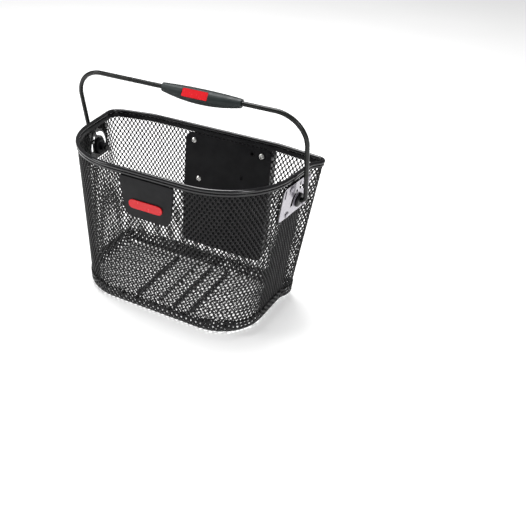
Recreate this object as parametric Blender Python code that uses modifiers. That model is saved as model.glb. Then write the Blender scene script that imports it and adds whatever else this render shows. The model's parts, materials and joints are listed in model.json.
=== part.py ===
"""Handlebar basket: mesh walls and pan, wire rim, swinging bail with grip, quick-release back plate.

Metres, +Z up, +Y towards the handlebar, +X to the right for someone who faces the front plate.
The origin is on the underside of the base, about midway between its front and back edges.
"""

import math

import bmesh
import bpy
from mathutils import Matrix, Vector

# Air between touching pieces, so that no two solids share space.
GAP = 0.0003

# Plan outline of the walls' middle surface, per side (right, left): the back's bend, the flared back
# corner, the waist where its flare starts, and the front corner. Left sides are given mirrored.
RIM_Z = 0.1766
FOOT_Z = 0.0105
RIM_PLAN = {
    1: ((0.079, 0.0638), (0.1410, 0.0540), (0.1270, 0.0370), (0.1148, -0.0766)),
    -1: ((0.079, 0.0638), (0.1310, 0.0530), (0.1270, 0.0370), (0.1148, -0.0766)),
}
FOOT_PLAN = {
    1: ((0.077, 0.0608), (0.1215, 0.0600), (0.1102, 0.0370), (0.1052, -0.0611)),
    -1: ((0.077, 0.0608), (0.1140, 0.0565), (0.1102, 0.0370), (0.1052, -0.0611)),
}
RIM_RADII = {1: (0.050, 0.006, 0.016, 0.080), -1: (0.050, 0.014, 0.016, 0.080)}
FOOT_RADII = {1: (0.030, 0.0085, 0.016, 0.052), -1: (0.030, 0.014, 0.016, 0.052)}
PLAN_BULGES = (1, 1, -1, 1)
ARC_STEPS = (2, 5, 2, 10)
RUN_STEPS = (2, 3, 1, 4, 3)
SHEET = 0.0012

# Rim.
RIM_WIRE_R = 0.0022
EDGING_HEIGHT = 0.0021
HEM_HEIGHT = 0.0042
BAND_SHEET = 0.0010

# Pan.
PAN_EDGE_R = 0.0085
PAN_EDGE_STEPS = 4
PAN_FLANGE_Z = 0.0175
RIB_X = (-0.0350, -0.0060, 0.0140, 0.0350)
RIB_BACK_Y = 0.050
RIB_FRONT_Y = -0.041
RIB_WIDTH = 0.0055
RIB_HEIGHT = 0.0020

# Bail, its pivots and the grip.
PIVOT_Y = 0.0165
PIVOT_Z = 0.145
BAIL_LEAN = math.radians(13.8)
BAIL_HALF = 0.1326
BAIL_RISE = 0.0995
BAIL_WIRE_R = 0.0024
BAIL_CORNER_R = 0.033
BAIL_ELBOW_R = 0.0053
PIN_INSET = 0.0094
GRIP_X = 0.021
GRIP_LENGTH = 0.088
GRIP_DEPTH = (0.0092, 0.0158)
GRIP_TOP = (0.0043, 0.0054)
GRIP_BOTTOM = (0.0047, 0.0104)
GRIP_RINGS = 24
GRIP_SIDES = 28
CHANNEL_STEPS = 8
BADGE_X = -0.005
BADGE_TURN = math.radians(44)
BADGE_SINK = 0.0012
BADGE_SIZE = (0.0284, 0.0083)
BADGE_DEPTH = 0.0010
BADGE_CORNER_R = 0.0009

# Side brackets and pivots.
BRACKET_SIZE = (0.057, 0.038)
BRACKET_SHEET = 0.0016
BRACKET_STANDOFF = 0.0007
BRACKET_Y = 0.0075
BRACKET_Z = 0.151
BRACKET_RADII = (0.005, 0.009, 0.005, 0.005)
WINDOW_R = 0.0180
WINDOW_ANGLES = (-39, 219)
HUB_R = 0.0096
HUB_SHEET = 0.0030
SLOT_RADII = (0.0122, 0.0168)
SLOT_ANGLES = ((-18, 96), (116, 192))
TAIL_ANGLE = math.radians(98)
TAIL_RADII = (0.0140, 0.0222)
TAIL_WIDTH = 0.0022
SLOT_STEPS = 10
BUSH_FLANGE_R = 0.0078
BUSH_FLANGE = 0.0026
BUSH_SHANK_R = 0.0046
BUSH_LENGTH = 0.0092
CLIP_R = 0.0060
CLIP_SHEET = 0.0008
CLIP_INSET = 0.0076
GAUGE_SPOT = (-0.0240, 0.0122)
GAUGE_SIZE = (0.0022, 0.0105)
RIVET_SPOTS = ((-0.0120, -0.0152), (-0.0120, 0.0140), (0.0250, -0.0152), (0.0250, 0.0140))
RIVET_SHANK_R = 0.0018
RIVET_HEAD_R = 0.0034
RIVET_HEAD = 0.0012

# Back: clamping plate inside, quick-release plate outside, four screws.
BACK_X = 0.021
BACK_Z = 0.0985
PLATE_SIZE = (0.1067, 0.141)
PLATE_SHEET = 0.0024
PLATE_CORNER_R = 0.0085
ADAPTER_SIZE = (0.104, 0.138)
ADAPTER_DEPTH = 0.014
ADAPTER_CORNER_R = 0.010
POCKET_SIZE = (0.056, 0.114)
POCKET_DEPTH = 0.010
POCKET_TOP = 0.045
POCKET_CORNER_R = 0.006
SCREW_SPOTS = ((-0.042, 0.0622), (0.042, 0.0622), (-0.0338, 0.0162), (0.0338, 0.0162))
SCREW_SHANK_R = 0.0020
SCREW_HEAD_R = 0.0034
SCREW_HEAD = 0.0022
SCREW_LENGTH = 0.0115
CROSS_SIZE = (0.0009, 0.0042)
CROSS_ROUND = 0.3
CROSS_DEPTH = 0.0010
SPY_SPOT = (0.0304, 0.0620)
SPY_R = 0.0021
SLIT_SPOT = (0.0195, 0.0298)
SLIT_SIZE = (0.0014, 0.0055)

# Front plate with its blank badge.
FRONT_X = 0.0008
FRONT_Z = 0.1484
FRONT_TOP_HALF = 0.0315
FRONT_FOOT_HALF = 0.0262
FRONT_HEIGHT = 0.0462
FRONT_SHEET = 0.0020
FRONT_FOOT_R = 0.009
FRONT_TOP_R = 0.002
PILL_SIZE = (0.039, 0.0100)
PILL_SHEET = 0.0010
PILL_SPOT = (-0.0012, -0.0064)
STUD_SPOTS = ((-0.022, 0.0165), (0.022, 0.0165))
STUD_R = 0.0017
STUD_LENGTH = 0.0036
WASHER_R = 0.0042
WASHER_SHEET = 0.0008

# Share of a slot's width that rounds its ends, and facets of round pieces.
SLOT_ROUND = 0.49
LARGE_SIDES = 28
ROUND_SIDES = 20
SMALL_SIDES = 12

# How far a cutter reaches through a sheet, a stack of sheets or the bail's pivot.
SHEET_CUT = 0.010
DEEP_CUT = 0.030
BORE_CUT = 0.060


def clear_scene():
    for item in list(bpy.data.objects):
        bpy.data.objects.remove(item, do_unlink=True)


def collection(name):
    made = bpy.data.collections.new(name)
    bpy.context.scene.collection.children.link(made)
    return made


def material(name, colour, roughness, metallic=0.0):
    made = bpy.data.materials.new(name)
    made.use_nodes = True
    shader = made.node_tree.nodes["Principled BSDF"]
    shader.inputs["Base Color"].default_value = (*colour, 1.0)
    shader.inputs["Roughness"].default_value = roughness
    shader.inputs["Metallic"].default_value = metallic
    return made


def place(name, mesh, paint, matrix=None, parent=None):
    made = bpy.data.objects.new(name, mesh)
    PARTS.objects.link(made)
    made.data.materials.append(paint)
    if parent is not None:
        made.parent = parent
    if matrix is not None:
        made.matrix_local = matrix
    return made


def place_cutter(name, mesh, matrix=None, parent=None):
    made = bpy.data.objects.new(name, mesh)
    CUTTERS.objects.link(made)
    made.hide_render = True
    made.display_type = "WIRE"
    if parent is not None:
        made.parent = parent
    if matrix is not None:
        made.matrix_local = matrix
    return made


def guide(name, matrix):
    """An empty that carries the pieces fastened at one place."""
    made = bpy.data.objects.new(name, None)
    CUTTERS.objects.link(made)
    made.hide_render = True
    made.matrix_world = matrix
    return made


def cut(target, *cutters):
    for cutter in cutters:
        step = target.modifiers.new("cut " + cutter.name, "BOOLEAN")
        step.operation = "DIFFERENCE"
        step.object = cutter
        step.solver = "EXACT"


def join(target, *bodies):
    for body in bodies:
        step = target.modifiers.new("join " + body.name, "BOOLEAN")
        step.operation = "UNION"
        step.object = body
        step.solver = "EXACT"


def finish_mesh(name, shape, smooth_angle=30.0):
    """Turns a bmesh into a mesh with outward faces, smooth but for its sharp edges."""
    bmesh.ops.recalc_face_normals(shape, faces=shape.faces)
    mesh = bpy.data.meshes.new(name)
    shape.to_mesh(mesh)
    shape.free()
    mesh.shade_smooth()
    mesh.set_sharp_from_angle(angle=math.radians(smooth_angle))
    return mesh


# ---- outlines ----


def fillet(before, corner, after, radius, steps):
    """Points of the arc that rounds one corner of an outline."""
    corner = Vector(corner)
    towards_before = (Vector(before) - corner).normalized()
    towards_after = (Vector(after) - corner).normalized()
    half_angle = towards_before.angle(towards_after) / 2
    centre = corner + (towards_before + towards_after).normalized() * (radius / math.sin(half_angle))
    start = corner + towards_before * (radius / math.tan(half_angle)) - centre
    end = corner + towards_after * (radius / math.tan(half_angle)) - centre
    turn = start.angle_signed(end)
    return [centre + Matrix.Rotation(-turn * i / steps, 2) @ start for i in range(steps + 1)]


def run(start, end, steps):
    """Points strictly between two ends of a straight stretch."""
    return [Vector(start).lerp(Vector(end), i / steps) for i in range(1, steps)]


def moved_corners(corners, grow):
    """Inner corners of an open outline after every side has moved outwards by grow."""
    moved = []
    for before, corner, after in zip(corners, corners[1:], corners[2:]):
        arriving = (corner - before).normalized()
        leaving = (after - corner).normalized()
        outward = Vector((-arriving.y - leaving.y, arriving.x + leaving.x))
        moved.append(corner + outward * (grow / (1 + arriving.dot(leaving))))
    return moved


def half_outline(plan, radii, grow):
    """One side's outline from the middle of the back to the middle of the front, moved out by grow."""
    plan = moved_corners([Vector((0, plan[0].y))] + plan + [Vector((0, plan[-1].y))], grow)
    corners = [Vector((0, plan[0].y))] + plan + [Vector((0, plan[-1].y))]
    half = [corners[0]]
    for i, bulge in enumerate(PLAN_BULGES):
        arc = fillet(*corners[i:i + 3], radii[i] + bulge * grow, ARC_STEPS[i])
        half += run(half[-1], arc[0], RUN_STEPS[i]) + arc
    return half + run(half[-1], corners[-1], RUN_STEPS[-1]) + [corners[-1]]


def share_at(z):
    return (z - FOOT_Z) / (RIM_Z - FOOT_Z)


def plan_at(z, side=1):
    """One side's plan corners at height z: the pan's and the rim's, blended along straight lines."""
    pairs = zip(FOOT_PLAN[side], RIM_PLAN[side])
    return [Vector(foot).lerp(Vector(rim), share_at(z)) for foot, rim in pairs]


def wall_ring(z, grow=0.0):
    """The wall's closed outline at height z, moved outwards by grow."""
    halves = []
    for side in (1, -1):
        pairs = zip(FOOT_RADII[side], RIM_RADII[side])
        radii = [foot + (rim - foot) * share_at(z) for foot, rim in pairs]
        half = half_outline(plan_at(z, side), radii, grow)
        halves.append([Vector((point.x * side, point.y, z)) for point in half])
    return halves[0] + halves[1][-2:0:-1]


def loft(name, rings, closed_end=False):
    """Open surface through rings with equal point counts; closed_end fills the last one."""
    shape = bmesh.new()
    rows = [[shape.verts.new(point) for point in ring] for ring in rings]
    for lower, upper in zip(rows, rows[1:]):
        for i, vert in enumerate(lower):
            j = (i + 1) % len(lower)
            shape.faces.new((vert, lower[j], upper[j], upper[i]))
    if closed_end:
        shape.faces.new(rows[-1])
    return finish_mesh(name, shape)


def thicken(target, thickness):
    step = target.modifiers.new("sheet", "SOLIDIFY")
    step.thickness = thickness
    step.offset = 0.0
    step.use_even_offset = True


def slab(name, outline, thickness):
    """Flat plate in local XZ, thickness along local Y, centred."""
    shape = bmesh.new()
    front = [shape.verts.new((x, -thickness / 2, z)) for x, z in outline]
    back = [shape.verts.new((x, thickness / 2, z)) for x, z in outline]
    shape.faces.new(front)
    shape.faces.new(back[::-1])
    for i, vert in enumerate(front):
        j = (i + 1) % len(front)
        shape.faces.new((front[j], vert, back[i], back[j]))
    return finish_mesh(name, shape)


def rounded_outline(corners, radii, steps=4):
    """Closed outline with every corner rounded by its own radius."""
    count = len(corners)
    points = []
    for i, corner in enumerate(corners):
        points += fillet(corners[i - 1], corner, corners[(i + 1) % count], radii[i], steps)
    return [(point.x, point.y) for point in points]


def rectangle(width, height, radius, steps=4):
    w, h = width / 2, height / 2
    return rounded_outline([(-w, -h), (w, -h), (w, h), (-w, h)], [radius] * 4, steps)


def rod(name, radius, length, sides=ROUND_SIDES):
    """Cylinder along local Y, centred."""
    shape = bmesh.new()
    turn = Matrix.Rotation(math.radians(90), 4, "X")
    bmesh.ops.create_cone(
        shape, cap_ends=True, segments=sides, radius1=radius, radius2=radius, depth=length, matrix=turn
    )
    return finish_mesh(name, shape)


def turned(name, profile, sides=ROUND_SIDES):
    """Closed body of revolution about local Y from (radius, y) points that start and end on the axis."""
    shape = bmesh.new()
    rows = []
    for radius, y in profile[1:-1]:
        angles = [2 * math.pi * k / sides for k in range(sides)]
        rows.append([shape.verts.new((radius * math.cos(a), y, radius * math.sin(a))) for a in angles])
    for lower, upper in zip(rows, rows[1:]):
        for i, vert in enumerate(lower):
            j = (i + 1) % sides
            shape.faces.new((vert, lower[j], upper[j], upper[i]))
    shape.faces.new(rows[0])
    shape.faces.new(rows[-1])
    return finish_mesh(name, shape)


# ---- walls, rim and pan ----


def frame_matrix(across, up, origin):
    """Frame whose local X runs across, local Z up and local Y is square to both."""
    rows = Matrix((across, up.cross(across), up)).transposed().to_4x4()
    rows.translation = origin
    return rows


def upright_frame(point_at, x, z):
    """Frame on a front or back wall at (x, z), local Z up along the wall."""
    up = (point_at(RIM_Z) - point_at(FOOT_Z)).normalized()
    return frame_matrix(Vector((1, 0, 0)), up, point_at(z) + Vector((x, 0, 0)))


def back_point(z):
    return Vector((0, plan_at(z)[0].y, z))


def front_point(z):
    return Vector((0, plan_at(z)[3].y, z))


def side_point(y, z):
    """Place on the straight stretch of the right side wall."""
    waist, front = plan_at(z)[2:]
    along = (waist.y - y) / (waist.y - front.y)
    return Vector((waist.x + (front.x - waist.x) * along, y, z))


def side_frame(side):
    """Local -Y points out of one side wall, local Z up along it."""
    waist, front = plan_at(BRACKET_Z)[2:]
    up = (side_point(BRACKET_Y, RIM_Z) - side_point(BRACKET_Y, FOOT_Z)).normalized()
    across = Vector((waist.x - front.x, waist.y - front.y, 0))
    across = (across - up * across.dot(up)).normalized()
    centre = side_point(BRACKET_Y, BRACKET_Z)
    if side < 0:
        across = Vector((across.x, -across.y, across.z))
        up = Vector((-up.x, up.y, up.z))
        centre = Vector((-centre.x, centre.y, centre.z))
    return frame_matrix(across, up, centre)


def build_wall():
    top = RIM_Z - RIM_WIRE_R - GAP
    rings = [wall_ring(FOOT_Z), wall_ring(top)]
    wall = place("wall_mesh", loft("wall_mesh", rings), PAINT)
    thicken(wall, SHEET)
    return wall


def build_rim():
    spine = bpy.data.curves.new("rim_wire", "CURVE")
    spine.dimensions = "3D"
    spine.bevel_depth = RIM_WIRE_R
    spine.bevel_resolution = 2
    points = wall_ring(RIM_Z)
    line = spine.splines.new("POLY")
    line.points.add(len(points) - 1)
    for knot, point in zip(line.points, points):
        knot.co = (*point, 1.0)
    line.use_cyclic_u = True
    place("rim_wire", spine, PAINT)


def build_rim_bands():
    top = RIM_Z - RIM_WIRE_R - GAP
    outside = (SHEET + BAND_SHEET) / 2 + GAP
    rings = [wall_ring(top - EDGING_HEIGHT, outside), wall_ring(top, outside)]
    edging = place("rim_edging", loft("rim_edging", rings), PAINT)
    thicken(edging, BAND_SHEET)
    rings = [wall_ring(top - HEM_HEIGHT, -outside), wall_ring(top, -outside)]
    hem = place("rim_hem", loft("rim_hem", rings), PAINT)
    thicken(hem, BAND_SHEET)


def rib_bar(name, x, width, height, floor, lowest):
    """Long half-round bar with rounded ends, used to raise or hollow one rib."""
    shape = bmesh.new()
    bmesh.ops.create_uvsphere(shape, u_segments=12, v_segments=6, radius=1.0)
    for vert in shape.verts:
        end = (RIB_BACK_Y + RIB_FRONT_Y) / 2
        if abs(vert.co.y) > SHEET:
            end = RIB_BACK_Y if vert.co.y > 0 else RIB_FRONT_Y
        half = width / 2
        z = floor + vert.co.z * height
        vert.co = Vector((x + vert.co.x * half, end + vert.co.y * half, max(z, lowest)))
    return place_cutter(name, finish_mesh(name, shape))


def build_pan():
    outside = SHEET + GAP
    rings = [wall_ring(PAN_FLANGE_Z, outside)]
    foot = wall_ring(FOOT_Z, outside)
    for step in range(PAN_EDGE_STEPS + 1):
        angle = math.pi / 2 * step / PAN_EDGE_STEPS
        inset = PAN_EDGE_R * (1 - math.cos(angle))
        drop = PAN_EDGE_R * math.sin(angle)
        ring = wall_ring(FOOT_Z, outside - inset)
        rings.append([Vector((p.x, p.y, PAN_EDGE_R + SHEET / 2 - drop)) for p in ring])
    pan = place("base_mesh", loft("base_mesh", rings, closed_end=True), PAINT)
    thicken(pan, SHEET)
    for i, x in enumerate(RIB_X):
        raised = rib_bar(f"rib {i} raised", x, RIB_WIDTH, RIB_HEIGHT, SHEET, SHEET / 2)
        hollow = rib_bar(f"rib {i} hollow", x, RIB_WIDTH - 2 * SHEET, RIB_HEIGHT, 0.0, -SHEET)
        join(pan, raised)
        cut(pan, hollow)
    return pan


# ---- bail and grip ----


def build_bail():
    lean = Matrix.Translation((0, PIVOT_Y, PIVOT_Z)) @ Matrix.Rotation(BAIL_LEAN, 4, "X")
    pivot = guide("bail pivot", lean)
    spine = bpy.data.curves.new("bail_wire", "CURVE")
    spine.dimensions = "3D"
    spine.bevel_depth = BAIL_WIRE_R
    spine.bevel_resolution = 2
    spine.use_fill_caps = True
    pin_end = side_point(PIVOT_Y, PIVOT_Z).x - PIN_INSET
    corners = [(pin_end, 0), (BAIL_HALF, 0), (BAIL_HALF, BAIL_RISE), (0, BAIL_RISE)]
    half = [Vector(corners[0])]
    half += fillet(corners[0], corners[1], corners[2], BAIL_ELBOW_R, 6)
    half += fillet(corners[1], corners[2], corners[3], BAIL_CORNER_R, 10)
    points = half + [Vector((-point.x, point.y)) for point in half[::-1]]
    line = spine.splines.new("POLY")
    line.points.add(len(points) - 1)
    for knot, point in zip(line.points, points):
        knot.co = (point.x, 0.0, point.y, 1.0)
    place("bail_wire", spine, WIRE_PAINT, parent=pivot)
    return pivot


def swell(sizes, x):
    """Size of the grip at x, from its end size to its middle size."""
    return sizes[0] + (sizes[1] - sizes[0]) * (1 - (2 * x / GRIP_LENGTH) ** 2)


def grip_section(x, side):
    """Closed outline of one half of the grip at x: the outer skin, then the channel for the wire."""
    depth, top, bottom = swell(GRIP_DEPTH, x) / 2, swell(GRIP_TOP, x), swell(GRIP_BOTTOM, x)
    outline = []
    for k in range(GRIP_SIDES // 2 + 1):
        angle = -math.pi / 2 + 2 * math.pi * k / GRIP_SIDES
        z = (top - bottom) / 2 + (top + bottom) / 2 * math.sin(angle)
        outline.append((max(GAP / 2, depth * math.cos(angle)), z))
    bore = BAIL_WIRE_R + GAP
    for k in range(CHANNEL_STEPS + 1):
        angle = math.pi / 2 - math.pi * k / CHANNEL_STEPS
        outline.append((max(GAP / 2, bore * math.cos(angle)), bore * math.sin(angle)))
    return [Vector((x, side * y, z)) for y, z in outline]


def build_grip(pivot):
    seat = Matrix.Translation((GRIP_X, 0, BAIL_RISE))
    halves = []
    for name, side in (("grip_front", -1), ("grip_rear", 1)):
        shape = bmesh.new()
        rows = []
        for ring in range(GRIP_RINGS + 1):
            x = GRIP_LENGTH * (ring / GRIP_RINGS - 0.5)
            rows.append([shape.verts.new(point) for point in grip_section(x, side)])
        for lower, upper in zip(rows, rows[1:]):
            for i, vert in enumerate(lower):
                j = (i + 1) % len(lower)
                shape.faces.new((vert, lower[j], upper[j], upper[i]))
        shape.faces.new(rows[0])
        shape.faces.new(rows[-1])
        halves.append(place(name, finish_mesh(name, shape, 40.0), GRIP_PLASTIC, seat, pivot))
    build_badge(halves[0], seat, pivot)


def build_badge(grip_half, seat, pivot):
    """Blank inlay on the grip's upper front, in a flat-bottomed recess."""
    middle = Matrix.Translation((BADGE_X, 0, (GRIP_TOP[1] - GRIP_BOTTOM[1]) / 2))
    facing = seat @ middle @ Matrix.Rotation(-BADGE_TURN, 4, "X")
    length, height = BADGE_SIZE
    floor = GRIP_DEPTH[1] / 2 - BADGE_SINK - BADGE_DEPTH
    hollow = rectangle(length + 2 * GAP, height + 2 * GAP, BADGE_CORNER_R, 2)
    recess_seat = facing @ Matrix.Translation((0, -floor - SHEET_CUT / 2, 0))
    cut(grip_half, place_cutter("badge recess", slab("badge recess", hollow, SHEET_CUT), recess_seat, pivot))
    badge = slab("grip_badge", rectangle(length, height, BADGE_CORNER_R, 2), BADGE_DEPTH)
    badge_seat = facing @ Matrix.Translation((0, -floor - GAP - BADGE_DEPTH / 2, 0))
    place("grip_badge", badge, RED_PLASTIC, badge_seat, pivot)


# ---- side brackets and pivots ----


def arc_points(radius, start, end, steps):
    angles = [math.radians(start + (end - start) * k / steps) for k in range(steps + 1)]
    return [(radius * math.cos(a), radius * math.sin(a)) for a in angles]


def arc_slot(start, end, side):
    """Outline of a curved slot about the pivot, from one angle to another."""
    outer = arc_points(SLOT_RADII[1], start, end, SLOT_STEPS)
    inner = arc_points(SLOT_RADII[0], end, start, SLOT_STEPS)
    return [(x * side, z) for x, z in outer + inner]


def tail_slot(side):
    """Outline of the short straight slot that leaves the upper end of the first curved slot."""
    out = Vector((math.cos(TAIL_ANGLE), math.sin(TAIL_ANGLE)))
    across = Vector((out.y, -out.x)) * (TAIL_WIDTH / 2)
    low, high = [out * radius for radius in TAIL_RADII]
    corners = (low - across, low + across, high + across, high - across)
    return [(point.x * side, point.y) for point in corners]


def pivot_frame(side):
    """At the pivot on the wall's middle surface, local Y pointing inwards along the pivot's axis."""
    spot = side_point(PIVOT_Y, PIVOT_Z)
    return frame_matrix(Vector((0, side, 0)), Vector((0, 0, 1)), Vector((side * spot.x, spot.y, spot.z)))


def hub_frame(side):
    """At the pivot, but square to the wall."""
    tilt = side_frame(side)
    tilt.translation = pivot_frame(side).translation
    return tilt


def rivet_profile(head_y, inner_y):
    """Outline of a rivet from its outer head to its inner head, along local Y."""
    head, shank = RIVET_HEAD_R, RIVET_SHANK_R
    return [
        (0, head_y - RIVET_HEAD),
        (head * 0.6, head_y - RIVET_HEAD),
        (head, head_y - RIVET_HEAD * 0.35),
        (head, head_y),
        (shank, head_y),
        (shank, inner_y),
        (head * 0.85, inner_y),
        (head * 0.85, inner_y + RIVET_HEAD * 0.7),
        (0, inner_y + RIVET_HEAD * 0.7),
    ]


def bracket_plate(side):
    w, h = BRACKET_SIZE[0] / 2, BRACKET_SIZE[1] / 2
    outline = rounded_outline([(-w, -h), (w, -h), (w, h), (-w, h)], BRACKET_RADII)
    return slab("side_bracket", [(x * side, z) for x, z in outline], BRACKET_SHEET)


def build_side(wall, side):
    word = "right" if side > 0 else "left"
    frame = guide(f"bracket seat {word}", side_frame(side))
    pivot = guide(f"pivot seat {word}", pivot_frame(side))
    hub_seat = guide(f"hub seat {word}", hub_frame(side))
    plate_y = -(SHEET / 2 + BRACKET_STANDOFF + BRACKET_SHEET / 2)
    plate_seat = Matrix.Translation((0, plate_y, 0))
    bracket = place(f"side_bracket_{word}", bracket_plate(side), BRACKET_PAINT, plate_seat, frame)
    opening = slab("window", arc_points(WINDOW_R, *WINDOW_ANGLES, LARGE_SIDES), DEEP_CUT)
    window = place_cutter(f"window {word}", opening, Matrix(), pivot)
    tail = place_cutter(f"tail slot {word}", slab("tail slot", tail_slot(side), DEEP_CUT), Matrix(), pivot)
    cut(wall, window, tail)
    cutters = [tail]
    for number, (start, end) in enumerate(SLOT_ANGLES):
        name = f"arc slot {word} {number}"
        slot = slab(name, arc_slot(start, end, side), DEEP_CUT)
        cutters.append(place_cutter(name, slot, Matrix(), pivot))
    shank_hole = rod("shank hole", BUSH_SHANK_R + GAP, DEEP_CUT)
    cutters.append(place_cutter(f"shank hole {word}", shank_hole, Matrix(), hub_seat))
    gauge = slab("gauge slot", rectangle(*GAUGE_SIZE, GAUGE_SIZE[0] * SLOT_ROUND, 3), DEEP_CUT)
    gauge_seat = Matrix.Translation((GAUGE_SPOT[0] * side, 0, GAUGE_SPOT[1]))
    cutters.append(place_cutter(f"gauge slot {word}", gauge, gauge_seat, frame))
    cutters += build_rivets(wall, word, side, plate_y - BRACKET_SHEET / 2 - GAP, frame)
    cut(bracket, *cutters)
    build_pivot(word, hub_seat, pivot, plate_y)


def build_rivets(wall, word, side, outer, frame):
    """Four rivets through bracket and wall; returns the hole cutters."""
    holes = []
    for number, (x, z) in enumerate(RIVET_SPOTS, 1):
        seat = Matrix.Translation((x * side, 0, z))
        hole = rod("rivet hole", RIVET_SHANK_R + GAP, DEEP_CUT, SMALL_SIDES)
        holes.append(place_cutter(f"rivet hole {word} {number}", hole, seat, frame))
        rivet = turned("rivet", rivet_profile(outer, SHEET / 2 + GAP), SMALL_SIDES)
        place(f"bracket_rivet_{word}_{number}", rivet, BRACKET_PAINT, seat, frame)
    cut(wall, *holes)
    return holes


def build_pivot(word, hub_seat, pivot, plate_y):
    """Bush through the bracket, hub disc behind it and the clip that holds the bail's pin."""
    bore = place_cutter(f"pin bore {word}", rod("pin bore", BAIL_WIRE_R + GAP, BORE_CUT), Matrix(), pivot)
    outer = plate_y - BRACKET_SHEET / 2 - GAP
    rim = BUSH_FLANGE_R
    bush_profile = [
        (0, outer - BUSH_FLANGE),
        (rim * 0.75, outer - BUSH_FLANGE),
        (rim, outer - BUSH_FLANGE * 0.55),
        (rim, outer),
        (BUSH_SHANK_R, outer),
        (BUSH_SHANK_R, outer + BUSH_LENGTH),
        (0, outer + BUSH_LENGTH),
    ]
    bush = place(f"pivot_bush_{word}", turned("pivot_bush", bush_profile), BLACK_PLASTIC, Matrix(), hub_seat)
    cut(bush, bore)
    inner = plate_y + BRACKET_SHEET / 2 + GAP
    hub_profile = [
        (0, inner),
        (HUB_R, inner),
        (HUB_R, inner + HUB_SHEET * 0.7),
        (HUB_R * 0.86, inner + HUB_SHEET),
        (0, inner + HUB_SHEET),
    ]
    hub_mesh = turned("pivot_hub", hub_profile, LARGE_SIDES)
    hub = place(f"pivot_hub_{word}", hub_mesh, BLACK_PLASTIC, Matrix(), hub_seat)
    throat = rod("hub throat", BUSH_SHANK_R + GAP, DEEP_CUT)
    cut(hub, place_cutter(f"hub throat {word}", throat, Matrix(), hub_seat))
    clip_seat = Matrix.Translation((0, CLIP_INSET, 0))
    clip = place(f"pin_clip_{word}", rod("pin_clip", CLIP_R, CLIP_SHEET), BLACK_PLASTIC, clip_seat, pivot)
    cut(clip, bore)


# ---- back plate, adapter and screws ----


def build_back(wall):
    frame = guide("back seat", upright_frame(back_point, BACK_X, BACK_Z))
    plate_y = -(SHEET / 2 + GAP + PLATE_SHEET / 2)
    plate_mesh = slab("inner_plate", rectangle(*PLATE_SIZE, PLATE_CORNER_R), PLATE_SHEET)
    plate = place("inner_plate", plate_mesh, BLACK_PLASTIC, Matrix.Translation((0, plate_y, 0)), frame)
    adapter = build_adapter(frame)
    for number, (x, z) in enumerate(SCREW_SPOTS, 1):
        seat = Matrix.Translation((x, 0, z))
        hole = rod("screw hole", SCREW_SHANK_R + GAP, DEEP_CUT, SMALL_SIDES)
        hole = place_cutter(f"screw hole {number}", hole, seat, frame)
        for sheet in (plate, wall, adapter):
            cut(sheet, hole)
        build_screw(number, plate_y - PLATE_SHEET / 2 - GAP, seat, frame)
    spy_seat = Matrix.Translation((SPY_SPOT[0], plate_y, SPY_SPOT[1]))
    spy = place_cutter("spy hole", rod("spy hole", SPY_R, SHEET_CUT), spy_seat, frame)
    slit = slab("plate slit", rectangle(*SLIT_SIZE, SLIT_SIZE[0] * SLOT_ROUND, 3), SHEET_CUT)
    slit_seat = Matrix.Translation((SLIT_SPOT[0], plate_y, SLIT_SPOT[1]))
    cut(plate, spy, place_cutter("plate slit", slit, slit_seat, frame))


def build_adapter(frame):
    """Outer quick-release plate with a pocket that is open at the bottom."""
    centre_y = SHEET / 2 + GAP + ADAPTER_DEPTH / 2
    mesh = slab("adapter_plate", rectangle(*ADAPTER_SIZE, ADAPTER_CORNER_R), ADAPTER_DEPTH)
    adapter = place("adapter_plate", mesh, BLACK_PLASTIC, Matrix.Translation((0, centre_y, 0)), frame)
    width, length = POCKET_SIZE
    pocket = slab("adapter pocket", rectangle(width, 2 * length, POCKET_CORNER_R), 2 * POCKET_DEPTH)
    pocket_seat = Matrix.Translation((0, centre_y + ADAPTER_DEPTH / 2, POCKET_TOP - length))
    cut(adapter, place_cutter("adapter pocket", pocket, pocket_seat, frame))
    return adapter


def build_screw(number, head_y, seat, frame):
    """Pan-head screw from the inside outwards, with a crossed recess."""
    head = SCREW_HEAD_R
    profile = [
        (0, head_y - SCREW_HEAD),
        (head * 0.62, head_y - SCREW_HEAD),
        (head * 0.92, head_y - SCREW_HEAD * 0.68),
        (head, head_y - SCREW_HEAD * 0.25),
        (head, head_y),
        (SCREW_SHANK_R, head_y),
        (SCREW_SHANK_R, head_y + SCREW_LENGTH - SCREW_SHANK_R * 0.5),
        (SCREW_SHANK_R * 0.5, head_y + SCREW_LENGTH),
        (0, head_y + SCREW_LENGTH),
    ]
    screw = place(f"adapter_screw_{number}", turned("screw", profile, SMALL_SIDES), STEEL, seat, frame)
    for turn, (across, along) in enumerate((CROSS_SIZE, CROSS_SIZE[::-1])):
        blade = slab("cross", rectangle(across, along, CROSS_SIZE[0] * CROSS_ROUND, 1), 2 * CROSS_DEPTH)
        blade_seat = seat @ Matrix.Translation((0, head_y - SCREW_HEAD, 0))
        cut(screw, place_cutter(f"cross {number} {turn}", blade, blade_seat, frame))


# ---- front plate ----


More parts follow.
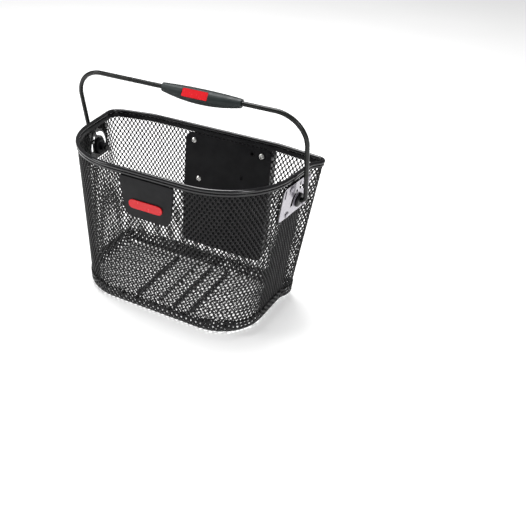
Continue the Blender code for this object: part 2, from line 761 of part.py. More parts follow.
def build_front(wall):
    frame = guide("front seat", upright_frame(front_point, FRONT_X, FRONT_Z))
    plate_y = -(SHEET / 2 + GAP + FRONT_SHEET / 2)
    top, foot, half = FRONT_TOP_HALF, FRONT_FOOT_HALF, FRONT_HEIGHT / 2
    corners = [(-foot, -half), (foot, -half), (top, half), (-top, half)]
    outline = rounded_outline(corners, [FRONT_FOOT_R, FRONT_FOOT_R, FRONT_TOP_R, FRONT_TOP_R])
    plate_mesh = slab("front_plate", outline, FRONT_SHEET)
    plate = place("front_plate", plate_mesh, BLACK_PLASTIC, Matrix.Translation((0, plate_y, 0)), frame)
    for number, spot in enumerate(STUD_SPOTS, 1):
        build_stud(number, spot, plate, wall, plate_y, frame)
    pill_mesh = slab("front_badge", rectangle(*PILL_SIZE, PILL_SIZE[1] * SLOT_ROUND, 6), PILL_SHEET)
    pill_y = plate_y - FRONT_SHEET / 2 - GAP - PILL_SHEET / 2
    pill_seat = Matrix.Translation((PILL_SPOT[0], pill_y, PILL_SPOT[1]))
    place("front_badge", pill_mesh, RED_PLASTIC, pill_seat, frame)


def build_stud(number, spot, plate, wall, plate_y, frame):
    """Stud on the front plate's back, its hole in the wall and the washer that holds it."""
    x, z = spot
    length = FRONT_SHEET / 2 + STUD_LENGTH
    stud_seat = Matrix.Translation((x, plate_y + length / 2, z))
    join(plate, place_cutter(f"stud {number}", rod("stud", STUD_R, length, SMALL_SIDES), stud_seat, frame))
    hole_seat = Matrix.Translation((x, 0, z))
    hole = rod("stud hole", STUD_R + GAP, SHEET_CUT, SMALL_SIDES)
    hole = place_cutter(f"stud hole {number}", hole, hole_seat, frame)
    washer_seat = Matrix.Translation((x, SHEET / 2 + GAP + WASHER_SHEET / 2, z))
    washer_mesh = rod("stud_washer", WASHER_R, WASHER_SHEET, SMALL_SIDES)
    washer = place(f"stud_washer_{number}", washer_mesh, STEEL, washer_seat, frame)
    cut(washer, hole)
    cut(wall, hole)


clear_scene()
PARTS = collection("handlebar_basket")
CUTTERS = collection("cutters")
PAINT = material("black powder coat", (0.012, 0.012, 0.013), 0.38, 0.2)
WIRE_PAINT = material("black coated wire", (0.014, 0.015, 0.014), 0.32, 0.1)
GRIP_PLASTIC = material("grip plastic", (0.016, 0.021, 0.021), 0.45)
BLACK_PLASTIC = material("black plastic", (0.010, 0.010, 0.011), 0.42)
RED_PLASTIC = material("red plastic", (0.60, 0.012, 0.020), 0.35)
BRACKET_PAINT = material("grey bracket lacquer", (0.36, 0.34, 0.38), 0.28, 0.5)
STEEL = material("zinc plated steel", (0.60, 0.60, 0.58), 0.28, 1.0)

wall_mesh = build_wall()
build_pan()
build_rim()
build_rim_bands()
build_grip(build_bail())
for wall_side in (-1, 1):
    build_side(wall_mesh, wall_side)
build_back(wall_mesh)
build_front(wall_mesh)
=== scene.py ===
"""Looks of the handlebar basket: open mesh walls and pan, rim, bail rod, materials, light and camera."""

import json
import math

import bmesh
import bpy
import numpy as np
from mathutils import Matrix, Vector
from mathutils.bvhtree import BVHTree


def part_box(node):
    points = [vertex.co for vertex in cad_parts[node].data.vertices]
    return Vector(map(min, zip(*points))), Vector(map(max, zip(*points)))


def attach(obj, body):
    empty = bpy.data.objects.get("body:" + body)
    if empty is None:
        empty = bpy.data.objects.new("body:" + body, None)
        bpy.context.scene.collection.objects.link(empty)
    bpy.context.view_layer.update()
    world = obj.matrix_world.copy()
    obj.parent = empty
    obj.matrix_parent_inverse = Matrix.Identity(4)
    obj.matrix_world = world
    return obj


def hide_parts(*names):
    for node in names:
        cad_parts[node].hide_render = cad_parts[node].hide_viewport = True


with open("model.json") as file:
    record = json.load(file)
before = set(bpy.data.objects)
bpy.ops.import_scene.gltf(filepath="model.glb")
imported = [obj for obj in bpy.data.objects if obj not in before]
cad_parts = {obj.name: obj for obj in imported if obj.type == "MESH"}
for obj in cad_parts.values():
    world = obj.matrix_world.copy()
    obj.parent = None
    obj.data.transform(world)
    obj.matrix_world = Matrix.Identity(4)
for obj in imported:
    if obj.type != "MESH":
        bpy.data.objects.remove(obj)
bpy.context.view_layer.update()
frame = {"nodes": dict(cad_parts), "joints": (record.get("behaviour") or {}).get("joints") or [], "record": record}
NODES = frame["nodes"]

# Wall mesh: diamond columns round the wall, the rise from row to row before it is fitted to the wall's
# height, and the height of row 0.
COLUMNS = 136
CELL_RISE = 0.00372
FOOT_Z = 0.0105

# One cell: the hole's share of the diamond, its roundness (1 is a diamond, 2 an ellipse) and its points.
HOLE_SHARE = 0.60
HOLE_ROUND = 1.8
HOLE_POINTS = 12

# Strands between the holes: the sheet's depth, and how far their middle stands out of it on each side.
STRAND_DEPTH = 0.0009
STRAND_CROWN = 0.00035

# Cells left out of the side walls, past SIDE_X, behind each bracket. They are measured from the pivot
# along Y and Z: a disc with its back and its foot cut off, and a small round spot above it.
WINDOW_R = 0.0225
WINDOW_BACK = 0.0160
WINDOW_LOW = -0.0116
TAIL_SPOT = (-0.0031, 0.0210)
TAIL_R = 0.0042
SIDE_X = 0.1

# Pan mesh: a cell's width and height, the radius of its edge bend, its lift off the floor, how far its
# flange stands outside the wall, its lowest point, and the flange's height with what the cells may add.
PAN_CELL = (0.0060, 0.0086)
PAN_EDGE_R = 0.0085
PAN_RISE = 0.0006
PAN_CLEAR = 0.0003
PAN_LOWEST = 0.00002
FLANGE_Z = 0.0175
FLANGE_SPARE = 0.002

# Size of the pan's holes against the wall's: on the flat, past BEND_START outside the edge, and on ribs
# where they reach RIB_EDGE of their height.
PAN_HOLE = 1.14
BEND_HOLE = 0.58
BEND_START = 0.0055
RIB_HOLE = 0.30
RIB_EDGE = 0.3

# Pressed ribs of the pan: their middles, their two ends, half their width and their height.
RIB_X = (-0.0350, -0.0060, 0.0140, 0.0350)
RIB_Y = (-0.0435, 0.0560)
RIB_HALF = 0.0028
RIB_HEIGHT = 0.0022

# Nearest-point search of the pan: points in one batch, and the step between the edge points that are
# tried when its cells are chosen.
BATCH = 4000
COARSE = 8

# Outline samples: heights read on the CAD wall, rays at each, even steps round it and its smoothing.
READ_HEIGHTS = (0.0115, 0.050, 0.080, 0.105, 0.1225, 0.1733)
READ_RAYS = 1440
OUTLINE_STEPS = 1088
SMOOTHING = 0.0022

# Rim: sides of the rod, and the strips beside it with their distance from the wall's middle line.
ROD_SIDES = 20
STRIP_WIDTH = 0.0010
STRIP_EDGE_R = 0.0004
STRIP_EDGE_STEPS = 4
STRIP_LEAN = 0.07
STRIP_OUT = 0.0014

# Bail: radii of its wire and bends, steps in each bend, how far the pins' ends stand out of the clips
# towards the middle, and the resolution of the wire's round section.
WIRE_R = 0.0024
ELBOW_R = 0.0053
ELBOW_STEPS = 10
CORNER_R = 0.033
CORNER_STEPS = 24
PIN_PAST_CLIP = 0.0014
WIRE_RESOLUTION = 6

# CAD nodes that get rounded edges: the edge width of each, and those that keep their facets.
SOFT_EDGES = {
    "front_plate": 0.0006,
    "inner_plate": 0.0006,
    "side_bracket_left": 0.0003,
    "side_bracket_right": 0.0003,
    "front_badge": 0.0003,
    "grip_badge": 0.0003,
    "adapter_plate": 0.0008,
    "grip_front": 0.0004,
    "grip_rear": 0.0004,
}
FACETED = ("adapter_plate", "grip_front", "grip_rear")
EDGE_SEGMENTS = 3
EDGE_ANGLE = 35.0
FLAT_ANGLE = 2.0

# Material of each record slot whose CAD nodes stay visible.
SLOT_LOOKS = {
    "grip_plastic": "grip",
    "red_plastic": "red",
    "bracket_lacquer": "bracket",
    "black_plastic": "black",
    "zinc_steel": "steel",
}

# Noise in the materials: its texture, the scales of colour and gloss, and the part of it that is used.
NOISE_DETAIL = 4.0
NOISE_ROUGHNESS = 0.55
GRAIN_DETAIL = 3.0
COLOUR_SCALE = 60.0
GLOSS_SCALE = 180.0
NOISE_SPAN = (0.35, 0.65)
WEAR_SPAN = (0.53, 0.60)
COAT_ROUGHNESS = 0.12

# Inside of the brackets: their own black, and how strongly a face has to look away from the middle to be outside,
# where the painted reflection goes.
BRACKET_INSIDE = (0.008, 0.008, 0.009)
OUTSIDE_LIMIT = 0.02

# Camera: bearing, height angle, roll, distance and the point it looks at.
CAMERA_AZIMUTH = 0.49648
CAMERA_ELEVATION = 0.54915
CAMERA_ROLL = 0.03397
CAMERA_DISTANCE = 0.777708
CAMERA_TARGET = (0.012564, -0.009715, 0.0655)
CAMERA_LENS = 47.64
CAMERA_SENSOR = 36
CAMERA_SHIFT = (0.1432, -0.0319)

# Floor: its size, its height, its colours and its own glow.
FLOOR_SIZE = 4.0
FLOOR_Z = -0.0005
FLOOR_DARK = (0.85, 0.85, 0.85)
FLOOR_LIGHT = (0.88, 0.88, 0.88)
FLOOR_ROUGHNESS = 0.9
FLOOR_SCALE = 3.0
FLOOR_GLOW = 0.35

# Light: an even sky, and area lights (name, place, size, power) that face LIGHT_TARGET.
WORLD_LIGHT = 0.22
LIGHT_TARGET = (0, 0, 0.1)
LIGHTS = (
    ("overhead", (-0.3, 0.2, 1.6), (1.0, 0.8), 30),
    ("left", (-1.3, -0.9, 1.0), (0.5, 0.7), 9),
    ("right", (1.3, -0.7, 0.9), (0.4, 0.7), 8),
)


# ---- outline of the walls, read from the CAD wall ----


def unit(rows):
    """Each row scaled to length 1."""
    return rows / np.linalg.norm(rows, axis=1, keepdims=True)


def even(ring, count):
    """The closed ring resampled at equal steps along its length."""
    closed = np.vstack([ring, ring[:1]])
    lengths = np.concatenate([[0], np.cumsum(np.linalg.norm(np.diff(closed, axis=0), axis=1))])
    stops = np.linspace(0, lengths[-1], count, endpoint=False)
    return np.stack([np.interp(stops, lengths, closed[:, axis]) for axis in range(2)], axis=1)


def smooth_ring(ring):
    """The ring averaged along itself with a bell curve."""
    step = np.linalg.norm(ring[1] - ring[0])
    reach = int(3 * SMOOTHING / step)
    offsets = np.arange(-reach, reach + 1)
    weights = np.exp(-0.5 * (offsets * step / SMOOTHING) ** 2)
    weights /= weights.sum()
    return sum(weight * np.roll(ring, offset, axis=0) for weight, offset in zip(weights, offsets))


def outward(ring):
    """Unit normals that point out of a clockwise ring seen from above."""
    along = np.roll(ring, -1, axis=0) - np.roll(ring, 1, axis=0)
    return unit(np.stack([-along[:, 1], along[:, 0]], axis=1))


def read_outline(tree, z, centre):
    """Middle line of the mesh at height z, as evenly spaced points from the back's middle, turning to +X."""
    ring = []
    for step in range(READ_RAYS):
        angle = math.pi / 2 - 2 * math.pi * step / READ_RAYS
        way = Vector((math.cos(angle), math.sin(angle), 0))
        hit = tree.ray_cast(Vector((centre[0], centre[1], z)), way)[0]
        ring.append((hit.x, hit.y))
    ring = smooth_ring(even(np.array(ring), OUTLINE_STEPS))
    return ring + outward(ring) * (STRAND_DEPTH / 2)


def read_wall():
    low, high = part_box("wall_mesh")
    centre = ((low[0] + high[0]) / 2, (low[1] + high[1]) / 2)
    tree = BVHTree.FromObject(NODES["wall_mesh"], bpy.context.evaluated_depsgraph_get())
    return np.array([read_outline(tree, z, centre) for z in READ_HEIGHTS])


RINGS = read_wall()


def wall_points(turns, heights):
    """Points (N, 3) on the mesh's middle surface and outward normals, at shares of a turn and heights."""
    steps = np.mod(turns, 1.0) * OUTLINE_STEPS
    levels = np.array(READ_HEIGHTS)
    row = np.clip(np.searchsorted(levels, heights) - 1, 0, len(levels) - 2)
    gap = levels[row + 1] - levels[row]
    share = (heights - levels[row]) / gap
    first = np.floor(steps).astype(int) % OUTLINE_STEPS
    second = (first + 1) % OUTLINE_STEPS
    part = (steps - np.floor(steps))[:, None]
    lower = RINGS[row, first] * (1 - part) + RINGS[row, second] * part
    upper = RINGS[row + 1, first] * (1 - part) + RINGS[row + 1, second] * part
    place = lower + (upper - lower) * share[:, None]
    along = RINGS[row, (second + 1) % OUTLINE_STEPS] - RINGS[row, (first - 1) % OUTLINE_STEPS]
    flat = unit(np.stack([-along[:, 1], along[:, 0]], axis=1))
    lean = np.sum((upper - lower) * flat, axis=1) / gap
    return np.column_stack([place, heights]), unit(np.column_stack([flat, -lean]))


# ---- expanded metal ----


def hole_outline(scale):
    """Points of one hole in cell units: a diamond with rounded corners."""
    points = []
    for number in range(HOLE_POINTS):
        angle = 2 * math.pi * number / HOLE_POINTS
        across, up = math.cos(angle), math.sin(angle)
        size = (abs(across) ** HOLE_ROUND + abs(up) ** HOLE_ROUND) ** (-1 / HOLE_ROUND)
        points.append((0.5 * scale * size * across, scale * size * up))
    return points


def diamond_outline():
    """The cell's own boundary, with as many points as the hole."""
    corners = [(0.5, 0), (0, 1), (-0.5, 0), (0, -1)]
    steps = HOLE_POINTS // 4
    points = []
    for corner, start in enumerate(corners):
        end = corners[(corner + 1) % 4]
        for step in range(steps):
            points.append(tuple(a + (b - a) * step / steps for a, b in zip(start, end)))
    return points


def lattice(cells, hole_scale):
    """Vertices (column, row, depth) and faces of diamond cells; neighbours share their boundary points."""
    knots, faces, shared = [], [], {}

    def knot(column, row, depth):
        knots.append((column, row, depth))
        return len(knots) - 1

    def boundary(column, row, depth):
        key = (round(column * HOLE_POINTS), round(row * HOLE_POINTS), depth > 0)
        if key not in shared:
            shared[key] = knot(column, row, depth)
        return shared[key]

    edge = diamond_outline()
    half = STRAND_DEPTH / 2
    for column, row in cells:
        middle = (column + 0.5 * (row % 2), row)
        hole = hole_outline(HOLE_SHARE * hole_scale(middle))
        loops = [
            [boundary(middle[0] + x, middle[1] + y, half + STRAND_CROWN) for x, y in edge],
            [knot(middle[0] + x, middle[1] + y, half - STRAND_CROWN / 2) for x, y in hole],
            [knot(middle[0] + x, middle[1] + y, STRAND_CROWN / 2 - half) for x, y in hole],
            [boundary(middle[0] + x, middle[1] + y, -half - STRAND_CROWN) for x, y in edge],
        ]
        for outer, inner in zip(loops, loops[1:]):
            for here in range(HOLE_POINTS):
                there = (here + 1) % HOLE_POINTS
                faces.append((outer[here], outer[there], inner[there], inner[here]))
    return np.array(knots), faces


def finish_piece(piece, mat, body, slot, *stands_for):
    bpy.context.scene.collection.objects.link(piece)
    piece.data.materials.append(mat)
    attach(piece, body)
    if stands_for:
        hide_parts(*stands_for)
    return piece


def mesh_piece(name, points, faces, mat, slot, *stands_for):
    mesh = bpy.data.meshes.new(name)
    mesh.from_pydata([tuple(point) for point in points], [], faces)
    shape = bmesh.new()
    shape.from_mesh(mesh)
    bmesh.ops.dissolve_degenerate(shape, edges=shape.edges, dist=1e-5)
    bmesh.ops.recalc_face_normals(shape, faces=shape.faces)
    shape.to_mesh(mesh)
    shape.free()
    mesh.shade_smooth()
    return finish_piece(bpy.data.objects.new(name, mesh), mat, "basket", slot, *stands_for)


# ---- walls ----


def wall_cells(first, last, rows, left_out):
    """Column and row numbers of one stretch of wall, without the cells that are left out."""
    return [(column, row) for column in range(first, last) for row in range(1, rows)
            if not left_out(column + 0.5 * (row % 2), row)]


def build_walls(mat):
    low, high = FOOT_Z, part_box("wall_mesh")[1][2]
    rows = round((high - low) / CELL_RISE)
    rise = (high - low) / rows
    pivots = [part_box("pivot_bush_" + word) for word in ("left", "right")]
    pivots = [np.array([(a + b) / 2 for a, b in zip(*corners)]) for corners in pivots]

    def in_window(column, row):
        place = wall_points(np.array([column / COLUMNS]), np.array([low + row * rise]))[0][0]
        for pivot in pivots:
            across, up = place[1] - pivot[1], place[2] - pivot[2]
            near = np.hypot(across, up) < WINDOW_R and up > WINDOW_LOW and across < WINDOW_BACK
            near = near or np.hypot(across - TAIL_SPOT[0], up - TAIL_SPOT[1]) < TAIL_R
            if near and place[0] * pivot[0] > 0 and abs(place[0]) > SIDE_X:
                return True
        return False

    quarter = COLUMNS // 4
    for number, word in enumerate(("right_back", "right_front", "left_front", "left_back")):
        cells = wall_cells(number * quarter, (number + 1) * quarter, rows, in_window)
        knots, faces = lattice(cells, lambda middle: 1.0)
        points, normals = wall_points(knots[:, 0] / COLUMNS, low + knots[:, 1] * rise)
        points = points + normals * knots[:, 2:3]
        stands_for = ("wall_mesh",) if number == 0 else ()
        mesh_piece("wall_" + word, points, faces, mat, "mesh_paint", *stands_for)


# ---- pan ----


def from_edge(places, edge, edge_normals, every=1):
    """For each planar place, the nearest edge point's number and how far outside the edge it lies."""
    gaps = np.linalg.norm(places[:, None, :] - edge[None, ::every, :], axis=2)
    near = np.argmin(gaps, axis=1) * every
    return near, np.sum((places - edge[near]) * edge_normals[near], axis=1)


def pan_place(flat, depth, edge, edge_normals):
    """Planar points wrapped over the pan's round edge and up its flange."""
    place = np.zeros((len(flat), 3))
    for start in range(0, len(flat), BATCH):
        batch = slice(start, start + BATCH)
        place[batch] = pan_wrap(flat[batch], depth[batch], edge, edge_normals)
    return place


def pan_wrap(flat, depth, edge, edge_normals):
    near, out = from_edge(flat, edge, edge_normals)
    bend = np.clip(out / PAN_EDGE_R, 0, math.pi / 2)
    rise = np.clip(out - PAN_EDGE_R * math.pi / 2, 0, None)
    inside = (out <= 0)[:, None]
    radius = PAN_EDGE_R + depth
    across = np.where(inside, flat, edge[near] + edge_normals[near] * (radius * np.sin(bend))[:, None])
    height = PAN_EDGE_R + PAN_RISE - radius * np.cos(bend) + rise
    turns = near / len(edge)
    wall = wall_points(turns, np.clip(height, READ_HEIGHTS[0], None))[0]
    foot = wall_points(turns, np.full(len(near), READ_HEIGHTS[0]))[0]
    lean = np.sum((wall[:, :2] - foot[:, :2]) * edge_normals[near], axis=1)
    across = across + edge_normals[near] * lean[:, None] * (rise > 0)[:, None]
    return np.column_stack([across, height])


def rib_height(flat):
    """How far the pan's ribs lift its mesh at planar points."""
    lift = np.zeros(len(flat))
    ends = np.clip(np.minimum(flat[:, 1] - RIB_Y[0], RIB_Y[1] - flat[:, 1]) / RIB_HALF, 0, 1)
    for x in RIB_X:
        side = np.clip(1 - np.abs(flat[:, 0] - x) / RIB_HALF, 0, 1)
        lift = np.maximum(lift, RIB_HEIGHT * np.sin(side * math.pi / 2) * np.sin(ends * math.pi / 2))
    return lift


def build_pan(mat):
    foot = RINGS[0]
    edge = foot + outward(foot) * (STRAND_DEPTH + PAN_CLEAR - PAN_EDGE_R)
    edge = even(edge, OUTLINE_STEPS)
    edge_normals = outward(smooth_ring(edge))
    width, height = PAN_CELL[0], PAN_CELL[1] / 2
    limit = PAN_EDGE_R * math.pi / 2 + FLANGE_Z - PAN_EDGE_R
    last_column = int((np.abs(edge[:, 0]).max() + limit) / width) + 1
    low_row = int((edge[:, 1].min() - limit) / height) - 1
    high_row = int((edge[:, 1].max() + limit) / height) + 1
    candidates = [(column, row) for column in range(-last_column, last_column + 1)
                  for row in range(low_row, high_row + 1)]
    middles = np.array([((column + 0.5 * (row % 2)) * width, row * height) for column, row in candidates])
    out = from_edge(middles, edge, edge_normals, COARSE)[1]
    cells = [cell for cell, far in zip(candidates, out) if far < limit]
    bent = {cell for cell, far in zip(candidates, out) if far > BEND_START}

    def hole_scale(middle):
        flat = np.array([[middle[0] * width, middle[1] * height]])
        row = round(middle[1])
        if rib_height(flat)[0] > RIB_EDGE * RIB_HEIGHT:
            return RIB_HOLE
        return BEND_HOLE if (round(middle[0] - 0.5 * (row % 2)), row) in bent else PAN_HOLE

    knots, faces = lattice(cells, hole_scale)
    flat = np.column_stack([knots[:, 0] * width, knots[:, 1] * height])
    points = pan_place(flat, -knots[:, 2], edge, edge_normals)
    points[:, 2] += rib_height(flat)
    points[:, 2] = np.clip(points[:, 2], PAN_LOWEST, FLANGE_Z + FLANGE_SPARE)
    mesh_piece("pan", points, faces, mat, "mesh_paint", "base_mesh")


# ---- rim ----


def sweep(name, profile, z, mat, slot, *stands_for):
    """Closed band round the wall at height z; the profile is (outwards, upwards) from its middle line."""
    steps = OUTLINE_STEPS // 2
    ring, normals = wall_points(np.arange(steps) / steps, np.full(steps, z))
    flat = unit(normals[:, :2])
    points, faces = [], []
    for out, up in profile:
        row = ring.copy()
        row[:, :2] += flat * out
        row[:, 2] += up
        points += list(row)
    for lower in range(len(profile)):
        upper = (lower + 1) % len(profile)
        for here in range(steps):
            there = (here + 1) % steps
            corners = ((lower, here), (lower, there), (upper, there), (upper, here))
            faces.append(tuple(row * steps + step for row, step in corners))
    return mesh_piece(name, points, faces, mat, slot, *stands_for)


def arc(centre, radius, start, end, steps):
    """Points of an arc from one angle to another, in degrees."""
    points = []
    for step in range(steps + 1):
        angle = math.radians(start + (end - start) * step / steps)
        points.append((centre[0] + radius * math.cos(angle), centre[1] + radius * math.sin(angle)))
    return points


def strip_profile(height, out):
    """Profile of a leaning strip with rounded edges, its middle at (out, 0)."""
    points = []
    for side, end, start in ((1, 1, 0), (-1, 1, 90), (-1, -1, 180), (1, -1, 270)):
        middle = (side * (STRIP_WIDTH / 2 - STRIP_EDGE_R), end * (height / 2 - STRIP_EDGE_R))
        points += arc(middle, STRIP_EDGE_R, start, start + 90, STRIP_EDGE_STEPS)
    return [(x + y * STRIP_LEAN + out, y) for x, y in points]


def build_rim(rim_mat, mesh_mat):
    low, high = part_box("rim_wire")
    radius = (high[2] - low[2]) / 2
    circle = arc((0, 0), radius, 0, 360, ROD_SIDES)[:-1]
    sweep("rim_rod", circle, (high[2] + low[2]) / 2, rim_mat, "rim_paint", "rim_wire")
    strips = (("rim_edging", 1, "rim_edge_strip", rim_mat, "rim_paint"),
              ("rim_hem", -1, "rim_inner_strip", mesh_mat, "mesh_paint"))
    for node, side, name, mat, slot in strips:
        low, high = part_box(node)
        profile = strip_profile(high[2] - low[2], side * STRIP_OUT)
        sweep(name, profile, (high[2] + low[2]) / 2, mat, slot, node)


# ---- bail ----


def bail_frame():
    """Place and lean of the bail's wire, its rise and half its width, from its box and its joint."""
    pivot = Vector(frame["joints"][0]["pos_m"])
    low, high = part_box("bail_wire")
    ahead = pivot.y - (low[1] + WIRE_R)
    above = high[2] - WIRE_R - pivot.z
    lean = Matrix.Translation(pivot) @ Matrix.Rotation(math.atan2(ahead, above), 4, "X")
    return lean, math.hypot(ahead, above), high[0] - WIRE_R


def build_bail(mat):
    lean, rise, half = bail_frame()
    path = [(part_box("pin_clip_right")[0][0] - PIN_PAST_CLIP, 0.0)]
    path += arc((half - ELBOW_R, ELBOW_R), ELBOW_R, -90, 0, ELBOW_STEPS)
    path += arc((half - CORNER_R, rise - CORNER_R), CORNER_R, 0, 90, CORNER_STEPS)
    path += [(-x, z) for x, z in path[::-1]]
    curve = bpy.data.curves.new("bail_rod", "CURVE")
    curve.dimensions = "3D"
    curve.bevel_depth = WIRE_R
    curve.bevel_resolution = WIRE_RESOLUTION
    curve.use_fill_caps = True
    line = curve.splines.new("POLY")
    line.points.add(len(path) - 1)
    for point, (x, z) in zip(line.points, path):
        point.co = (*(lean @ Vector((x, 0, z))), 1.0)
    line.use_smooth = True
    finish_piece(bpy.data.objects.new("bail_rod", curve), mat, "bail", "bail_coat", "bail_wire")


# ---- CAD nodes that stay: soft edges and materials ----


def soften(node, width):
    """Rounds a node's sharp edges and, unless it is faceted, merges its flat facets first."""
    piece = NODES[node]
    if node not in FACETED:
        flat = piece.modifiers.new("flat faces", "DECIMATE")
        flat.decimate_type = "DISSOLVE"
        flat.angle_limit = math.radians(FLAT_ANGLE)
    edge = piece.modifiers.new("round edges", "BEVEL")
    edge.width = width
    edge.segments = EDGE_SEGMENTS
    edge.limit_method = "ANGLE"
    edge.angle_limit = math.radians(EDGE_ANGLE)
    normals = piece.modifiers.new("smooth", "WEIGHTED_NORMAL")
    normals.keep_sharp = True
    piece.data.shade_smooth()


def dress_nodes(mats):
    for part in frame["record"]["subparts"]:
        if part["material_slot"] in SLOT_LOOKS:
            surface = NODES[part["node"]].data.materials
            surface.clear()
            surface.append(mats[SLOT_LOOKS[part["material_slot"]]])
    for node, width in SOFT_EDGES.items():
        soften(node, width)


# ---- materials ----


def new_material(name, colour, roughness, metallic=0.0):
    mat = bpy.data.materials.new(name)
    mat.use_nodes = True
    tree = mat.node_tree
    shader = tree.nodes["Principled BSDF"]
    shader.inputs["Base Color"].default_value = (*colour, 1.0)
    shader.inputs["Roughness"].default_value = roughness
    shader.inputs["Metallic"].default_value = metallic
    return mat, tree, shader


def noise(tree, scale, detail=NOISE_DETAIL):
    where = tree.nodes.new("ShaderNodeTexCoord")
    made = tree.nodes.new("ShaderNodeTexNoise")
    made.inputs["Scale"].default_value = scale
    made.inputs["Detail"].default_value = detail
    made.inputs["Roughness"].default_value = NOISE_ROUGHNESS
    tree.links.new(where.outputs["Object"], made.inputs["Vector"])
    return made.outputs["Fac"]


def ramp(tree, value, low, high, span=NOISE_SPAN):
    """The value, turned from the span's two ends to low and high."""
    made = tree.nodes.new("ShaderNodeMapRange")
    made.inputs["From Min"].default_value = span[0]
    made.inputs["From Max"].default_value = span[1]
    made.inputs["To Min"].default_value = low
    made.inputs["To Max"].default_value = high
    tree.links.new(value, made.inputs["Value"])
    return made.outputs["Result"]


def tint(tree, value, first, second):
    """A colour between first and second that follows the value."""
    made = tree.nodes.new("ShaderNodeValToRGB")
    for element, position, colour in zip(made.color_ramp.elements, NOISE_SPAN, (first, second)):
        element.position = position
        element.color = (*colour, 1.0)
    tree.links.new(value, made.inputs["Fac"])
    return made.outputs["Color"]


def blend(tree, amount):
    """A colour mixer driven by the amount, with its inputs A and B still to be given."""
    made = tree.nodes.new("ShaderNodeMix")
    made.data_type = "RGBA"
    tree.links.new(amount, made.inputs["Factor"])
    return made


def bump(tree, shader, value, strength, distance):
    made = tree.nodes.new("ShaderNodeBump")
    made.inputs["Strength"].default_value = strength
    made.inputs["Distance"].default_value = distance
    tree.links.new(value, made.inputs["Height"])
    tree.links.new(made.outputs["Normal"], shader.inputs["Normal"])


def coated(name, dark, light, roughness, grain, wear=None, metallic=0.0, coat=0.0, gloss=0.5):
    """Painted or moulded surface: mottled colour, uneven gloss, fine grain and lighter worn edges.

    The roughness is its lowest and highest, and the grain is its scale, strength and depth."""
    mat, tree, shader = new_material(name, dark, roughness[0], metallic)
    colour = tint(tree, noise(tree, COLOUR_SCALE), dark, light)
    if wear:
        edges = tree.nodes.new("ShaderNodeNewGeometry").outputs["Pointiness"]
        mix = blend(tree, ramp(tree, edges, 0.0, 1.0, WEAR_SPAN))
        tree.links.new(colour, mix.inputs["A"])
        mix.inputs["B"].default_value = (*wear, 1.0)
        colour = mix.outputs["Result"]
    tree.links.new(colour, shader.inputs["Base Color"])
    tree.links.new(ramp(tree, noise(tree, GLOSS_SCALE), *roughness), shader.inputs["Roughness"])
    scale, strength, depth = grain
    bump(tree, shader, noise(tree, scale, GRAIN_DETAIL), strength, depth)
    shader.inputs["Specular IOR Level"].default_value = gloss
    shader.inputs["Coat Weight"].default_value = coat
    shader.inputs["Coat Roughness"].default_value = COAT_ROUGHNESS
    return mat


def build_materials():
    return {
        "mesh": coated("mesh powder coat", dark=(0.006, 0.006, 0.007), light=(0.014, 0.014, 0.015),
                       roughness=(0.30, 0.42), grain=(900.0, 0.25, 0.0002), wear=(0.03, 0.03, 0.03),
                       gloss=0.2),
        "rim": coated("rim gloss black", dark=(0.005, 0.005, 0.006), light=(0.011, 0.011, 0.012),
                      roughness=(0.08, 0.14), grain=(700.0, 0.08, 0.0001), gloss=0.5),
        "bail": coated("bail black coat", dark=(0.007, 0.008, 0.007), light=(0.013, 0.014, 0.013),
                       roughness=(0.18, 0.28), grain=(600.0, 0.12, 0.0002), gloss=0.28),
        "grip": coated("grip plastic", dark=(0.010, 0.015, 0.015), light=(0.018, 0.025, 0.025),
                       roughness=(0.38, 0.52), grain=(2200.0, 0.30, 0.0001), gloss=0.35),
        "black": coated("black plastic", dark=(0.004, 0.004, 0.005), light=(0.009, 0.009, 0.010),
                        roughness=(0.30, 0.42), grain=(1600.0, 0.20, 0.0001), gloss=0.15),
        "red": coated("red plastic", dark=(0.62, 0.008, 0.014), light=(0.65, 0.009, 0.016),
                      roughness=(0.22, 0.28), grain=(500.0, 0.02, 0.00003), gloss=0.35),
        "steel": coated("zinc plated steel", dark=(0.60, 0.60, 0.58), light=(0.74, 0.74, 0.72),
                        roughness=(0.18, 0.32), grain=(1200.0, 0.10, 0.0001), metallic=1.0),
        # Bracket: glossy black, with a painted reflection in grey lilac on its outer faces.
        "bracket": bracket_painted_reflection_material(),
        "floor": floor_material(),
    }


def bracket_painted_reflection_material():
    """Painted reflection: grey lilac on the faces that look away from the basket's middle, standing in for studio
    light on glossy black lacquer; the bracket's own black on the others.
    """
    # These grey lilac colours are a painted reflection of the studio light, not the lacquer's own colour.
    mat = coated("bracket lacquer", dark=(0.30, 0.28, 0.33), light=(0.36, 0.34, 0.38),
                 roughness=(0.16, 0.26), grain=(900.0, 0.08, 0.0001), metallic=0.4, coat=0.5)
    tree = mat.node_tree
    shader = tree.nodes["Principled BSDF"]
    # The grey lilac painted reflection colour.
    painted_reflection = shader.inputs["Base Color"].links[0].from_socket
    product = tree.nodes.new("ShaderNodeMath")
    product.operation = "MULTIPLY"
    place = tree.nodes.new("ShaderNodeTexCoord").outputs["Object"]
    facing = tree.nodes.new("ShaderNodeNewGeometry").outputs["True Normal"]
    for number, vector in enumerate((place, facing)):
        split = tree.nodes.new("ShaderNodeSeparateXYZ")
        tree.links.new(vector, split.inputs[0])
        tree.links.new(split.outputs["X"], product.inputs[number])
    # Mask of the painted reflection: faces that look outwards get the grey lilac, the rest keep the bracket's
    # black.
    outside = tree.nodes.new("ShaderNodeMath")
    outside.operation = "GREATER_THAN"
    outside.inputs[1].default_value = OUTSIDE_LIMIT
    tree.links.new(product.outputs[0], outside.inputs[0])
    mix = blend(tree, outside.outputs[0])
    mix.inputs["A"].default_value = (*BRACKET_INSIDE, 1.0)
    tree.links.new(painted_reflection, mix.inputs["B"])
    tree.links.new(mix.outputs["Result"], shader.inputs["Base Color"])
    return mat


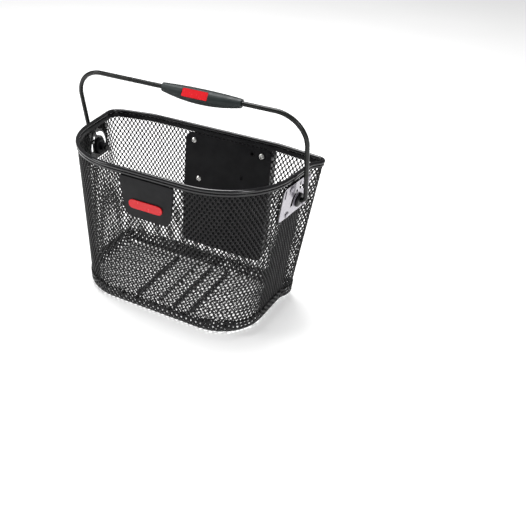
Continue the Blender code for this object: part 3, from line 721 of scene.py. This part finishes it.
def floor_material():
    mat, tree, shader = new_material("studio floor", FLOOR_DARK, FLOOR_ROUGHNESS)
    shader.inputs["Emission Color"].default_value = (1, 1, 1, 1)
    shader.inputs["Emission Strength"].default_value = FLOOR_GLOW
    colour = tint(tree, noise(tree, FLOOR_SCALE), FLOOR_DARK, FLOOR_LIGHT)
    tree.links.new(colour, shader.inputs["Base Color"])
    return mat


# ---- stage ----


def build_floor(mat):
    mesh = bpy.data.meshes.new("floor")
    shape = bmesh.new()
    bmesh.ops.create_grid(shape, x_segments=1, y_segments=1, size=FLOOR_SIZE)
    shape.to_mesh(mesh)
    shape.free()
    floor = bpy.data.objects.new("floor", mesh)
    bpy.context.scene.collection.objects.link(floor)
    floor.location = (0, 0, FLOOR_Z)
    mesh.materials.append(mat)


def area_light(name, place, size, power):
    light = bpy.data.lights.new(name, "AREA")
    light.shape = "RECTANGLE"
    light.size, light.size_y = size
    light.energy = power
    lamp = bpy.data.objects.new(name, light)
    lamp.location = place
    lamp.rotation_euler = (Vector(LIGHT_TARGET) - Vector(place)).to_track_quat("-Z", "Y").to_euler()
    bpy.context.scene.collection.objects.link(lamp)


def build_light():
    world = bpy.data.worlds.new("studio")
    bpy.context.scene.world = world
    world.use_nodes = True
    world.node_tree.nodes["Background"].inputs["Color"].default_value = (1, 1, 1, 1)
    world.node_tree.nodes["Background"].inputs["Strength"].default_value = WORLD_LIGHT
    for name, place, size, power in LIGHTS:
        area_light(name, place, size, power)
    bpy.context.scene.view_settings.view_transform = "Standard"


def build_camera():
    level = math.cos(CAMERA_ELEVATION)
    back = Vector((math.sin(CAMERA_AZIMUTH) * level, -math.cos(CAMERA_AZIMUTH) * level,
                   math.sin(CAMERA_ELEVATION)))
    right = Vector((math.cos(CAMERA_AZIMUTH), math.sin(CAMERA_AZIMUTH), 0))
    up = back.cross(right)
    straight, turned = math.cos(CAMERA_ROLL), math.sin(CAMERA_ROLL)
    pose = Matrix((right * straight + up * turned, up * straight - right * turned, back))
    pose = pose.transposed().to_4x4()
    pose.translation = Vector(CAMERA_TARGET) + back * CAMERA_DISTANCE
    lens = bpy.data.cameras.new("camera")
    lens.lens = CAMERA_LENS
    lens.sensor_width = CAMERA_SENSOR
    lens.shift_x, lens.shift_y = CAMERA_SHIFT
    camera = bpy.data.objects.new("camera", lens)
    camera.matrix_world = pose
    bpy.context.scene.collection.objects.link(camera)
    bpy.context.scene.camera = camera


build_camera()
build_light()
MATS = build_materials()
build_floor(MATS["floor"])
dress_nodes(MATS)
build_walls(MATS["mesh"])
build_pan(MATS["mesh"])
build_rim(MATS["rim"], MATS["mesh"])
build_bail(MATS["bail"])
